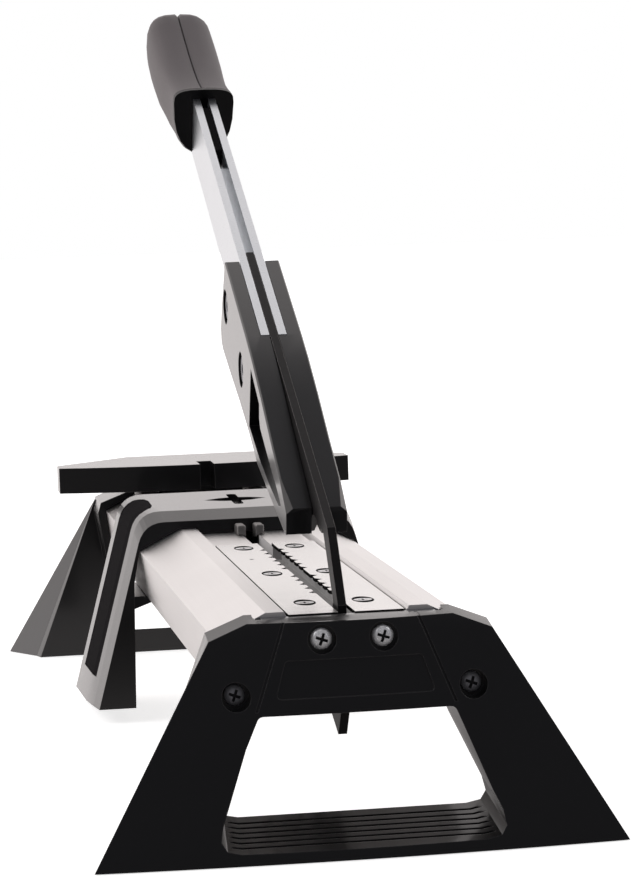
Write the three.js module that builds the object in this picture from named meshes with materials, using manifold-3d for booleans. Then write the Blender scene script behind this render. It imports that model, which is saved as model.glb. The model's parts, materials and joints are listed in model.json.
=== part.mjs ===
// A bench cutter for laminate planks: an aluminium bed on two moulded feet, a chopping blade on a
// long lever, a sliding bridge that spans the bed and a cross fence at the rear.
// Millimetres. +X to the right, +Y from the front foot to the rear one, +Z up, floor at Z = 0.
import * as THREE from 'three';
import { mergeVertices } from 'three/addons/utils/BufferGeometryUtils.js';
import Module from 'manifold-3d';

const wasm = await Module();
wasm.setup();

// Shared clearances and cut sizes
const seatGap = 0.3;
const plateSeatGap = 0.1;
const runningGap = 0.3;
const cutOver = 4;
const mergeReach = 0.0005;
const roundSteps = 3;
const screwSides = 16;
const pinSides = 24;
const hexSides = 6;

// Feet
const baseLength = 648.2;
const footHalfWidth = 115;
const footShoulderHalfWidth = 61.5;
const footShoulderHeight = 92.3;
const footTopHalfWidth = 44.6;
const footTopHeight = 99;
const footTopRise = 2.4;
const footDepth = 32;
const footLean = 12.09;
const footBow = 4.8;
const footBowSteps = 12;
const footSideTaper = 15;
const footSideDepth = 25;
const footInnerTaper = 2;
const footRimHalfWidth = 41.2;
const footRimDrop = 1.3;
const footRimDepth = 7;
const rimNotchInnerX = 37.8;
const rimNotchOuterX = 40.4;
const rimNotchDrop = 2.8;
const collarLength = 34;
const collarWall = 3.3;
const collarTopX = 40;
const collarTopZ = 103.6;
const collarCornerX = 60.5;
const collarCornerZ = 96;
const collarSideX = 62.3;
const collarSideZ = 89.6;
const collarLowZ = 60.5;
const windowSill = 5.6;
const windowSillRise = 8.4;
const windowTop = 60.7;
const windowSillHalfWidth = 64.8;
const windowTopHalfWidth = 43.3;
const windowCorner = 8;
const windowTopCorner = 3;
const windowDraft = 2.5;
const sillRibCount = 6;
const sillRibGroove = 1.6;
const sillRibDepth = 1;
const panelGrooveWidth = 1.3;
const panelGrooveDepth = 0.9;
const panelTopHalfWidth = 28.2;
const panelLowHalfWidth = 43;
const panelLowHeight = 62.5;
const panelTopOver = 3;
const plaqueTopHalfWidth = 29.5;
const plaqueLowHalfWidth = 34.5;
const plaqueTopHeight = 83.2;
const plaqueLowHeight = 67.4;
const plaqueDepth = 0.8;
const plaqueCorner = 2;

// Screws in the feet
const panScrewX = 13.3;
const panScrewZ = 91.5;
const deepScrewX = 51.2;
const deepScrewZ = 69.2;
const counterboreRadius = 6.2;
const panSeatDepth = 3.4;
const deepSeatDepth = 8;
const footScrewRadius = 1.9;
const footScrewReach = 16;
const panHeadRadius = 4.75;
const panHeadHeight = 3.1;
const panHeadEdge = 1.3;
const headShoulderShare = 0.8;
const headCrownShare = 0.45;

// Aluminium bed profile
const profileInset = 30.2;
const bedFloorZ = 98.9;
const bedFloorThickness = 2.4;
const bedRecessHalfWidth = 25.6;
const ridgeInnerX = 27.2;
const ridgeOuterX = 35.3;
const ridgeZ = 102.1;
const profileEdgeX = 57.4;
const profileEdgeZ = 91.2;
const profileLowX = 54.2;
const profileLowZ = 66.2;
const profileWall = 2.2;
const profileFlange = 8;
const slotHalfWidth = 4.3;
const slotWideHalfWidth = 8.6;
const slotWideDepth = 7;
const troughDepth = 21;
const troughWall = 2.4;
const troughOpenLength = 66;
const screwPortRadius = 3.3;
const cornerPortRadius = 2.8;

// Bed plates
const plateThickness = 1.75;
const plateInnerX = 3.7;
const plateOuterX = 25.2;
const plateFront = 30.2;
const plateLength = 266;
const plateScrewX = 13;
const plateScrewShares = [0.135, 0.533, 0.932];
const plateScrewYs = plateScrewShares.map((share) => plateFront + plateLength * share);
const plateHoleX = 15;
const plateHoleY = 231;
const plateHoleRadius = 1.2;
const notchDepth = 2.8;
const notchWidth = 8;
const frontNotchStart = 98;
const frontNotchPitch = 14.9;
const frontNotchCount = 5;
const rearNotchStart = 188.6;
const rearNotchPitch = 15.5;
const rearNotchCount = 6;
const plateScrewHeadRadius = 4.2;
const plateScrewRingGap = 0.5;
const plateScrewRadius = 1.7;
const plateScrewLength = 7;
const recessDepth = 1;
const recessWidth = 0.9;

// Lever: its own frame has the pivot at the origin, U along the lever and T square to it, upwards
const pivotY = 58;
const pivotZ = 82;
const leverAngle = 25;
const pivotRadius = 4;
const pivotHeadRadius = 6.5;
const pivotHeadHeight = 4;
const pivotNutRadius = 6.5;
const pivotNutHeight = 5.5;
const pivotTail = 1.5;
const washerRadius = 7;

// Blade
const bladeThickness = 3.9;
const bladeBackT = 43;
const bladeRearU = 303;
const bladeKneeU = 29.4;
const bladeNeckU = -5.4;
const bladeNeckT = 24.4;
const bladeBossRadius = 14;
const bladeTailBackU = -24.4;
const bladeTailBackT = -19.1;
const bladeTipU = -20.8;
const bladeTipT = -32.7;
const bladeTailRearU = -1.6;
const bladeTailRearT = -34.2;
const bladeNeckLowU = 5.5;
const bladeNeckLowT = 19.3;
const bladeThroatU = 38;
const bladeThroatT = 35;
const bladeShoulderU = 66;
const bladeShoulderT = 28;
const bladeEdgeStartU = 88;
const bladeEdgeStartT = 4;
const bladeEdgeEndU = 288;
const bladeEdgeEndT = -26;
const bladeRearLowT = -12;
const bladeBevel = 7;
const bladeEdgeThickness = 0.5;

// Lever bars and their bolts
const barThickness = 4.1;
const barFrontU = 212;
const barRearU = 606;
const barLowT = 9.4;
const barTopT = 43;
const barChamfer = 6;
const tangLowT = 13;
const tangTopT = 33.5;
const frontBoltU = 226.3;
const frontBoltT = 16.5;
const rearBoltU = 287.6;
const rearBoltT = 20;
const leverBolts = [[frontBoltU, frontBoltT], [rearBoltU, rearBoltT]];
const boltRadius = 3.9;
const boltHeadRadius = 6.4;
const boltHeadHeight = 3.4;
const boltSocketRadius = 2.9;
const boltRecessRadius = 9;
const boltRecessDepth = 4.6;
const nutHeight = 3.6;

// Blade housing
const housingHalfWidth = 14;
const housingChamfer = 3;
const housingReachU = 300;
const housingReachT = 40;
const housingShares = [
  { along: 0.2, edge: 0.65, crown: 0.725 },
  { along: 0.3, edge: 0.7325, crown: 0.81 },
  { along: 0.4033, edge: 0.7875, crown: 0.88 },
  { along: 0.5233, edge: 0.8875, crown: 0.985 },
  { along: 0.6333, edge: 0.96, crown: 1.05 },
  { along: 0.7067, edge: 0.975, crown: 1.07 },
  { along: 1.0667, edge: 0.985, crown: 1.07 },
];
const housingSideShares = [[0.2283, 0.675], [0.2217, 0.435], [0.24, 0.385], [0.5333, 0], [0.64, 0],
  [0.76, -0.05], [0.8833, -0.135], [0.98, -0.19], [1, -0.16], [1.012, -0.0125], [1.005, 0.325],
  [0.9833, 0.95], [0.97, 1.2], [0.2233, 1.2]];
const housingWindowShares = [[0.64, 0.09], [0.64, 0.885], [0.5367, 0.825], [0.5317, 0.65], [0.5167, 0.57],
  [0.4033, 0.56], [0.3267, 0.575], [0.28, 0.55], [0.3067, 0.44], [0.4033, 0.2925], [0.5, 0.165]];
const housingWindowDepth = 5.5;

// Grip
const gripFrontU = 500;
const gripRearU = 637;
const gripHalfWidth = 19.8;
const gripTopT = 48.4;
const gripLowT = -3;
const gripShares = [
  { along: 0, width: 0.86, top: 1, low: 0.24, widest: 0.84 },
  { along: 0.03, width: 0.862, top: 0.985, low: 0.2, widest: 0.83 },
  { along: 0.1, width: 0.866, top: 0.935, low: 0.13, widest: 0.79 },
  { along: 0.22, width: 0.88, top: 0.885, low: 0.07, widest: 0.71 },
  { along: 0.36, width: 0.935, top: 0.855, low: 0.03, widest: 0.6 },
  { along: 0.52, width: 0.975, top: 0.845, low: 0.005, widest: 0.52 },
  { along: 0.72, width: 1, top: 0.845, low: 0, widest: 0.48 },
  { along: 0.86, width: 0.965, top: 0.855, low: 0.02, widest: 0.48 },
  { along: 0.93, width: 0.9, top: 0.86, low: 0.06, widest: 0.48 },
  { along: 0.975, width: 0.76, top: 0.835, low: 0.13, widest: 0.49 },
  { along: 1, width: 0.52, top: 0.76, low: 0.24, widest: 0.5 },
];
const gripTopSquareShare = 0.62;
const gripLowSquareShare = 0.8;
const gripRoundPoints = 6;
const gripSeam = 0.35;
const gripSeamNotch = 1.4;
const spacerFrontU = 433;
const spacerRearU = 490;
const spacerLowT = 30;
const spacerTopT = 41.5;

// Blade guide fork on the bed
const guideY = 350;
const guideLength = 13;
const guideHalfWidth = 7.2;
const guideTopZ = 104.3;
const guideSlotHalfWidth = 2.5;
const guideRootDepth = 14;
const guideFloor = 5;

// Sliding bridge
const bridgeFront = 366.6;
const bridgeLength = 86.6;
const bridgeTop = 113.1;
const bridgeFrontDrop = 6.8;
const bridgeFrontInset = 6;
const bridgeBaseZ = 7.5;
const bridgeBaseHalfWidth = 88.5;
const bridgeShoulderZ = 106;
const bridgeShoulderHalfWidth = 61.3;
const bridgeCorner = 15;
const bridgeShares = [
  { along: 0, inset: 1, drop: 1 },
  { along: 0.173, inset: 0.65, drop: 0.368 },
  { along: 0.393, inset: 0.283, drop: 0.27 },
  { along: 0.977, inset: 0, drop: 0 },
  { along: 1, inset: 0.17, drop: 0.12 },
];
const bridgeInnerLowX = 62.8;
const bridgeInnerMidX = 61.2;
const bridgeInnerMidZ = 74;
const bridgeGap = 0.4;
const clawHeight = 4;
const clawReach = 7;
const clawGap = 0.5;
const clawFront = 12;
const clawLength = 60;
const inlayFront = 24;
const inlayLength = 47;
const inlayLowZ = 22;
const inlayThickness = 1.6;
const inlaySink = 0.3;
const inlayTopX = 47;
const inlayRound = 14;
const starMiddle = 49;
const starSlotLength = 40;
const starSlotWidth = 5.4;
const starCrossLength = 34;
const starCrossWidth = 15;
const starDepth = 4;
const lensShare = 0.72;
const clawWall = 1.2;

// Cross fence at the rear, placed from the rear end of the base
const fenceHalfWidth = 86.1;
const fenceLowZ = 105;
const fenceTopZ = 119.9;
const fenceSetback = 33.2;
const fenceDepth = 71;
const fenceEndDepth = 56.8;
const fenceRearEndDepth = 39.5;
const fenceFootDepth = 33;
const fenceScrewDepth = 18;
const fenceRearY = baseLength - fenceSetback;
const fenceFrontMidY = fenceRearY - fenceDepth;
const fenceFrontEndY = fenceRearY - fenceEndDepth;
const fenceRearEndY = fenceRearY - fenceRearEndDepth;
const fenceFootFront = fenceRearY - fenceFootDepth;
const fenceScrewY = fenceRearY - fenceScrewDepth;
const fenceRearHalfWidth = 41;
const fenceArcSteps = 14;
const fenceNotchHalfWidth = 4.2;
const fenceNotchDepth = 20;
const fenceFootHalfWidth = 38;
const fenceScrewX = 21.6;
const fenceScrewRadius = 2.1;
const fenceScrewReach = 9;

// Materials
const material = (color, roughness, metalness) => new THREE.MeshStandardMaterial({ color, roughness, metalness });
const blackPlastic = material('#201e22', 0.42, 0);
const softBlack = material('#2b272b', 0.7, 0);
const gripGrey = material('#766c6e', 0.6, 0);
const aluminium = material('#e4e0dc', 0.35, 0.9);
const brightSteel = material('#dfe3e6', 0.22, 1);
const bladeSteel = material('#3a3133', 0.35, 0.8);
const zinc = material('#c9c9c9', 0.3, 1);
const darkScrew = material('#34343a', 0.35, 0.8);

// Views for outlines: where an outline's two directions and its extrusion point
const frontView = new THREE.Matrix4().makeBasis(
  new THREE.Vector3(1, 0, 0), new THREE.Vector3(0, 0, 1), new THREE.Vector3(0, -1, 0));
const sideView = new THREE.Matrix4().makeBasis(
  new THREE.Vector3(0, 1, 0), new THREE.Vector3(0, 0, 1), new THREE.Vector3(1, 0, 0));
const planView = new THREE.Matrix4();

// A closed geometry as a solid that can be cut and joined
function solidOf(geometry) {
  const bare = geometry.clone();
  bare.deleteAttribute('normal');
  bare.deleteAttribute('uv');
  const merged = mergeVertices(bare, mergeReach);
  const vertProperties = Float32Array.from(merged.attributes.position.array);
  const triVerts = Uint32Array.from(merged.index.array);
  return new wasm.Manifold(new wasm.Mesh({ numProp: 3, vertProperties, triVerts }));
}

// A solid back as a geometry for a mesh
function geometryOf(solid) {
  const mesh = solid.getMesh();
  const points = new Float32Array(mesh.numVert * 3);
  for (let i = 0; i < mesh.numVert; i += 1) {
    for (let axis = 0; axis < 3; axis += 1) {
      points[i * 3 + axis] = mesh.vertProperties[i * mesh.numProp + axis];
    }
  }
  const geometry = new THREE.BufferGeometry();
  geometry.setAttribute('position', new THREE.BufferAttribute(points, 3));
  geometry.setIndex([...mesh.triVerts]);
  geometry.computeVertexNormals();
  return geometry;
}

// An outline drawn in one view and extruded from one place to another along the third axis
function prism(outline, view, from, to) {
  const shape = new THREE.Shape(outline.map(([a, b]) => new THREE.Vector2(a, b)));
  const geometry = new THREE.ExtrudeGeometry(shape, { depth: to - from, bevelEnabled: false });
  geometry.applyMatrix4(view);
  if (view === frontView) geometry.translate(0, to, 0);
  if (view === sideView) geometry.translate(from, 0, 0);
  if (view === planView) geometry.translate(0, 0, from);
  return solidOf(geometry);
}

// A rectangle as an outline
const rectangle = (a0, b0, a1, b1) => [[a0, b0], [a1, b0], [a1, b1], [a0, b1]];

// A round bar along one axis through a point
function rod(radius, axis, from, to, a, b, sides = pinSides) {
  const geometry = new THREE.CylinderGeometry(radius, radius, to - from, sides);
  const middle = (from + to) / 2;
  if (axis === 'x') geometry.rotateZ(Math.PI / 2).translate(middle, a, b);
  if (axis === 'y') geometry.translate(a, middle, b);
  if (axis === 'z') geometry.rotateX(Math.PI / 2).translate(a, b, middle);
  return solidOf(geometry);
}

// Outline corners [a, b, radius] with each given radius drawn as a short curve
function rounded(corners, steps = roundSteps) {
  const points = [];
  corners.forEach(([a, b, radius], i) => {
    const here = new THREE.Vector2(a, b);
    if (!radius) {
      points.push([a, b]);
      return;
    }
    const [beforeA, beforeB] = corners.at(i - 1);
    const [afterA, afterB] = corners[(i + 1) % corners.length];
    const back = new THREE.Vector2(beforeA, beforeB).sub(here).normalize();
    const ahead = new THREE.Vector2(afterA, afterB).sub(here).normalize();
    const reach = radius / Math.tan(Math.acos(back.dot(ahead)) / 2);
    const start = here.clone().addScaledVector(back, reach);
    const end = here.clone().addScaledVector(ahead, reach);
    const bend = new THREE.QuadraticBezierCurve(start, here, end);
    bend.getPoints(steps).forEach((p) => points.push([p.x, p.y]));
  });
  return points;
}

// A skin through rings of points, closed at both ends; flat gives a ring point's two cap coordinates
function loft(rings, flat) {
  const count = rings[0].length;
  const positions = rings.flat().flatMap((p) => p.toArray());
  const index = [];
  for (let r = 0; r + 1 < rings.length; r += 1) {
    for (let i = 0; i < count; i += 1) {
      const j = (i + 1) % count;
      const low = r * count;
      const high = low + count;
      index.push(low + i, low + j, high + j, low + i, high + j, high + i);
    }
  }
  const capOf = (ring) => THREE.ShapeUtils.triangulateShape(ring.map(flat), []);
  const last = (rings.length - 1) * count;
  const counter = !THREE.ShapeUtils.isClockWise(rings[0].map(flat));
  capOf(rings[0]).forEach(([a, b, c]) => index.push(...(counter ? [a, c, b] : [a, b, c])));
  capOf(rings.at(-1)).forEach(([a, b, c]) => index.push(...(counter ? [last + a, last + b, last + c]
    : [last + a, last + c, last + b])));
  const geometry = new THREE.BufferGeometry();
  geometry.setAttribute('position', new THREE.BufferAttribute(new Float32Array(positions), 3));
  geometry.setIndex(volumeOf(positions, index) < 0 ? index.toReversed() : index);
  return solidOf(geometry);
}

// Signed volume, to tell which way the skin faces
function volumeOf(positions, index) {
  let sum = 0;
  const corner = (i) => new THREE.Vector3().fromArray(positions, index[i] * 3);
  for (let i = 0; i < index.length; i += 3) sum += corner(i).dot(corner(i + 1).cross(corner(i + 2)));
  return sum;
}

const flatXY = (p) => new THREE.Vector2(p.x, p.y);
const flatXZ = (p) => new THREE.Vector2(p.x, p.z);

// Mirrors an outline's points to the other side and joins both halves into one loop
const mirrorLoop = (half) => [...half, ...half.map(([a, b]) => [-a, b]).reverse()];

// The front face of a foot: how far back it lies at a height, and at a place across it
const faceLean = (z) => z * Math.tan(THREE.MathUtils.degToRad(footLean));
const footWidthAt = (z) => footHalfWidth
  - (footHalfWidth - footShoulderHalfWidth) * Math.min(1, z / footShoulderHeight);
const faceY = (x, z) => faceLean(z) - footBow * (1 - (x / footWidthAt(z)) ** 2);

// One level of the foot's body: a bowed front edge and sides that draw in to the rear
function footRing(z, halfWidth, rise, taperShare) {
  const ring = [];
  for (let k = 0; k <= footBowSteps; k += 1) {
    const share = -1 + 2 * k / footBowSteps;
    ring.push(new THREE.Vector3(halfWidth * share, faceLean(z) - footBow * (1 - share ** 2), z));
  }
  const sideY = faceLean(z) + (footDepth - faceLean(z)) * footSideDepth / footDepth;
  const sideX = halfWidth - footSideTaper * taperShare;
  const rearX = sideX - footInnerTaper * taperShare;
  ring.push(new THREE.Vector3(sideX, sideY, z + rise * footSideDepth / footDepth));
  ring.push(new THREE.Vector3(rearX, footDepth, z + rise));
  ring.push(new THREE.Vector3(-rearX, footDepth, z + rise));
  ring.push(new THREE.Vector3(-sideX, sideY, z + rise * footSideDepth / footDepth));
  return ring;
}

// The see-through window of a foot, its sill rising to the rear and its walls drawing in
function footWindow() {
  const frame = (y, sill, draft) => rounded([
    [-windowSillHalfWidth + draft, sill, windowCorner],
    [windowSillHalfWidth - draft, sill, windowCorner],
    [windowTopHalfWidth - draft, windowTop, windowTopCorner],
    [-windowTopHalfWidth + draft, windowTop, windowTopCorner],
  ]).map(([x, z]) => new THREE.Vector3(x, y, z));
  const rise = windowSillRise / footDepth;
  const front = frame(-cutOver - footBow, windowSill - rise * (cutOver + footBow), 0);
  const rear = frame(footDepth + cutOver, windowSill + rise * (footDepth + cutOver), windowDraft);
  return loft([front, rear], flatXZ);
}

// Grooves across the sill of the window, which leave its ribs
function sillGrooves(body) {
  let cut = body;
  const pitch = footDepth / (sillRibCount + 1);
  const rise = windowSillRise / footDepth;
  for (let k = 1; k <= sillRibCount; k += 1) {
    const y = pitch * k - footBow / 2;
    const z = windowSill + rise * y;
    const groove = rectangle(y, z - sillRibDepth, y + sillRibGroove, z + sillRibDepth);
    const reach = windowSillHalfWidth - windowCorner;
    cut = cut.subtract(prism(groove, sideView, -reach, reach));
  }
  return cut;
}

// A region of the face, drawn from the front, cut to an even depth under the face
const faceCut = (outline, form, depth) =>
  prism(outline, frontView, -footBow - cutOver, footDepth).subtract(form.translate(0, depth, 0));

// The two grooves that part the middle panel of the face from the legs, and the bare plaque recess
function faceDetail(body, form) {
  let cut = body;
  const half = panelGrooveWidth / 2;
  const topZ = footTopHeight + panelTopOver;
  [-1, 1].forEach((side) => {
    const low = side * panelLowHalfWidth;
    const top = side * panelTopHalfWidth;
    const groove = [[low - half, panelLowHeight], [low + half, panelLowHeight],
      [top + half, topZ], [top - half, topZ]];
    cut = cut.subtract(faceCut(groove, form, panelGrooveDepth));
  });
  const plaque = rounded([
    [-plaqueLowHalfWidth, plaqueLowHeight, plaqueCorner], [plaqueLowHalfWidth, plaqueLowHeight, plaqueCorner],
    [plaqueTopHalfWidth, plaqueTopHeight, plaqueCorner], [-plaqueTopHalfWidth, plaqueTopHeight, plaqueCorner],
  ]);
  return cut.subtract(faceCut(plaque, form, plaqueDepth));
}

// The rear foot's collar, which wraps the shoulders and sides of the bed profile ahead of the foot
function footCollar() {
  const outer = [[collarTopX, collarTopZ], [collarCornerX, collarCornerZ], [collarSideX, collarSideZ],
    [profileLowX + seatGap + collarWall, collarLowZ]];
  const inner = [[profileLowX + seatGap, collarLowZ], [profileLowX + seatGap, profileLowZ],
    [profileEdgeX + seatGap, profileEdgeZ + seatGap], [collarTopX, shoulderZ(collarTopX) + seatGap]];
  const half = [...outer, ...inner];
  const solid = (side) => prism(half.map(([x, z]) => [x * side, z]), frontView,
    footDepth - footSideTaper / 2, footDepth + collarLength);
  return solid(-1).add(solid(1));
}

// Where the head of a foot screw seats, measured back from the face
const panSeatY = faceY(panScrewX, panScrewZ) + panSeatDepth;
const deepSeatY = faceY(deepScrewX, deepScrewZ) + deepSeatDepth;
const footScrews = [
  { name: 'pan', x: panScrewX, z: panScrewZ, seat: panSeatY },
  { name: 'deep', x: deepScrewX, z: deepScrewZ, seat: deepSeatY },
];

// The rim along the top of a foot's inner side, with a small notch near each end
function rimCut() {
  const rearY = footDepth + cutOver;
  const frontY = footDepth - footRimDepth;
  const topZ = footTopHeight + footTopRise;
  const rim = rectangle(-footRimHalfWidth, frontY, footRimHalfWidth, rearY);
  let cut = prism(rim, planView, topZ - footRimDrop, topZ + cutOver);
  [-1, 1].forEach((side) => {
    const notch = rectangle(rimNotchInnerX, frontY, rimNotchOuterX, rearY).map(([x, y]) => [x * side, y]);
    cut = cut.add(prism(notch, planView, topZ - rimNotchDrop, topZ + cutOver));
  });
  return cut;
}

// A foot, with its inner side against the profile's end
function footSolid(collar) {
  const taperAt = (z) => 1 - z / footShoulderHeight;
  const form = loft([
    footRing(0, footHalfWidth, 0, taperAt(0)),
    footRing(footShoulderHeight, footShoulderHalfWidth, footTopRise, 0),
    footRing(footTopHeight, footTopHalfWidth, footTopRise, 0),
  ], flatXY);
  let body = sillGrooves(form.subtract(footWindow())).subtract(rimCut());
  footScrews.forEach(({ x, z, seat }) => {
    [-x, x].forEach((place) => {
      body = body.subtract(rod(counterboreRadius, 'y', -footBow - cutOver, seat, place, z));
      body = body.subtract(rod(footScrewRadius + seatGap, 'y', 0, footDepth + cutOver, place, z, screwSides));
    });
  });
  body = faceDetail(body, form);
  if (collar) body = body.add(footCollar());
  const pocket = profileOutline(seatGap);
  return body.subtract(prism(pocket, frontView, profileInset - seatGap, footDepth + collarLength + cutOver));
}

// Height of the bed profile's sloped shoulder at a place across it
const shoulderZ = (x) => THREE.MathUtils.mapLinear(x, ridgeOuterX, profileEdgeX, ridgeZ, profileEdgeZ);

// Outer outline of the bed profile with its plates, grown by a gap
function profileOutline(gap) {
  return mirrorLoop([
    [ridgeOuterX + gap, ridgeZ + gap], [profileEdgeX + gap, profileEdgeZ + gap],
    [profileLowX + gap, profileLowZ - gap],
  ]);
}

// The bed profile's section: ridges, sloped shoulders, hollow underside and the trough under the slot
function profileSection() {
  const underZ = bedFloorZ - bedFloorThickness;
  const floorZ = bedFloorZ - troughDepth;
  const wallX = slotHalfWidth + troughWall;
  const flangeX = profileLowX - profileFlange;
  const wideX = slotWideHalfWidth + troughWall;
  const stepZ = bedFloorZ - slotWideDepth - troughWall;
  return mirrorLoop([
    [slotHalfWidth, floorZ], [slotHalfWidth, bedFloorZ], [bedRecessHalfWidth, bedFloorZ],
    [ridgeInnerX, ridgeZ], [ridgeOuterX, ridgeZ], [profileEdgeX, profileEdgeZ], [profileLowX, profileLowZ],
    [flangeX, profileLowZ], [flangeX, profileLowZ + profileWall],
    [profileLowX - profileWall, profileLowZ + profileWall],
    [profileEdgeX - profileWall, profileEdgeZ - profileWall / 2],
    [ridgeOuterX - profileWall / 4, ridgeZ - profileWall], [ridgeInnerX, ridgeZ - profileWall],
    [bedRecessHalfWidth, underZ], [wideX, underZ], [wideX, stepZ], [wallX, stepZ], [wallX, floorZ - troughWall],
  ]);
}

// The aluminium bed profile with its screw ports, plate screw holes and the blade's opening in front
function baseProfile() {
  const front = profileInset;
  const rear = baseLength - profileInset;
  let body = prism(profileSection(), frontView, front, rear);
  const underZ = bedFloorZ - bedFloorThickness;
  [-1, 1].forEach((side) => {
    const webHalf = screwPortRadius / 2;
    const web = rectangle(panScrewX - webHalf, panScrewZ, panScrewX + webHalf, underZ + plateSeatGap);
    body = body.add(prism(web.map(([a, b]) => [a * side, b]), frontView, front, rear));
    body = body.add(rod(screwPortRadius, 'y', front, rear, side * panScrewX, panScrewZ, screwSides));
    body = body.add(rod(cornerPortRadius, 'y', front, rear, side * deepScrewX, deepScrewZ, screwSides));
  });
  footScrews.forEach(({ x, z }) => {
    [-x, x].forEach((place) => {
      const hole = footScrewRadius + seatGap / 2;
      body = body.subtract(rod(hole, 'y', front - cutOver, front + footScrewReach + cutOver, place, z, screwSides));
      body = body.subtract(rod(hole, 'y', rear - footScrewReach - cutOver, rear + cutOver, place, z, screwSides));
    });
  });
  plateScrewYs.forEach((y) => {
    [-plateScrewX, plateScrewX].forEach((x) => {
      body = body.subtract(rod(plateScrewRadius + seatGap / 2, 'z', bedFloorZ - plateScrewLength - cutOver,
        bedFloorZ + cutOver, x, y, screwSides));
    });
  });
  const openRear = front + troughOpenLength;
  const openX = slotHalfWidth + troughWall + seatGap;
  const opening = rectangle(front - cutOver, profileLowZ, openRear, bedFloorZ - troughDepth + seatGap);
  body = body.subtract(prism(opening, sideView, -openX, openX));
  const slot = rectangle(front - cutOver, profileLowZ, openRear, bedFloorZ + cutOver);
  body = body.subtract(prism(slot, sideView, -slotHalfWidth, slotHalfWidth));
  const wideRear = plateFront + plateLength + seatGap;
  const wideSlot = rectangle(front - cutOver, bedFloorZ - slotWideDepth, wideRear, bedFloorZ + cutOver);
  body = body.subtract(prism(wideSlot, sideView, -slotWideHalfWidth, slotWideHalfWidth));
  const pivotReach = slotHalfWidth + troughWall + cutOver;
  body = body.subtract(rod(pivotRadius + seatGap, 'x', -pivotReach, pivotReach, pivotY, pivotZ));
  [-fenceScrewX, fenceScrewX].forEach((x) => {
    const hole = fenceScrewRadius + seatGap;
    body = body.subtract(rod(hole, 'z', bedFloorZ - cutOver, bedFloorZ + cutOver, x, fenceScrewY, screwSides));
  });
  return body;
}

// One bed plate: notched along the slot, with countersunk holes; side is -1 for the left one
function bedPlate(side) {
  const rear = plateFront + plateLength;
  const outline = [[plateOuterX, plateFront], [plateOuterX, rear], [plateInnerX, rear]];
  const row = (start, pitch, count) => Array.from({ length: count }, (_, k) => start + pitch * k);
  const notches = [...row(frontNotchStart, frontNotchPitch, frontNotchCount),
    ...row(rearNotchStart, rearNotchPitch, rearNotchCount)];
  notches.reverse().forEach((y) => {
    outline.push([plateInnerX, y + notchWidth / 2]);
    outline.push([plateInnerX + notchDepth, y]);
    outline.push([plateInnerX, y - notchWidth / 2]);
  });
  outline.push([plateInnerX, plateFront]);
  const low = bedFloorZ + plateSeatGap;
  const top = low + plateThickness;
  let body = prism(outline.map(([x, y]) => [x * side, y]), planView, low, top);
  const hole = plateScrewRadius + seatGap;
  plateScrewYs.forEach((y) => {
    const ring = plateScrewHeadRadius + plateScrewRingGap;
    const sink = new THREE.CylinderGeometry(ring, hole, plateThickness, screwSides);
    sink.rotateX(Math.PI / 2).translate(side * plateScrewX, y, top - plateThickness / 2);
    body = body.subtract(solidOf(sink));
    body = body.subtract(rod(hole, 'z', low - cutOver, top + cutOver, side * plateScrewX, y, screwSides));
  });
  if (side < 0) {
    const drilled = rod(plateHoleRadius, 'z', low - cutOver, top + cutOver, -plateHoleX, plateHoleY, screwSides);
    body = body.subtract(drilled);
  }
  return body;
}

// A screw about its own axis: head at the top, its seat at zero, and a cross recess
function screw(headProfile, headTop, shankRadius, shankLength, neckDepth = 0) {
  const points = [[0, -shankLength], [shankRadius, -shankLength], [shankRadius, -neckDepth], ...headProfile,
    [0, headTop]];
  const lathe = new THREE.LatheGeometry(points.map(([r, z]) => new THREE.Vector2(r, z)), screwSides);
  lathe.rotateX(Math.PI / 2);
  let body = solidOf(lathe);
  const reach = headProfile[0][0] / 2;
  [rectangle(-reach, -recessWidth / 2, reach, recessWidth / 2),
    rectangle(-recessWidth / 2, -reach, recessWidth / 2, reach)].forEach((slot) => {
    body = body.subtract(prism(slot, planView, headTop - recessDepth, headTop + cutOver));
  });
  return body;
}

// The domed head that the foot and fence screws share, from its seat to its crown
const panHead = [[panHeadRadius, 0], [panHeadRadius, panHeadEdge],
  [panHeadRadius * headShoulderShare, panHeadHeight * headShoulderShare],
  [panHeadRadius * headCrownShare, panHeadHeight]];
const panScrew = (radius, length) => screw(panHead, panHeadHeight, radius, length);
const footScrewSolid = (seatY) => panScrew(footScrewRadius, footScrewReach + profileInset - seatY);
const plateScrewSolid = () => screw([[plateScrewHeadRadius, 0]], 0, plateScrewRadius, plateScrewLength,
  plateThickness);

// A lever piece's outline, drawn along the lever and extruded across it
const leverPrism = (outline, from, to) => prism(outline, sideView, from, to);

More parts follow.
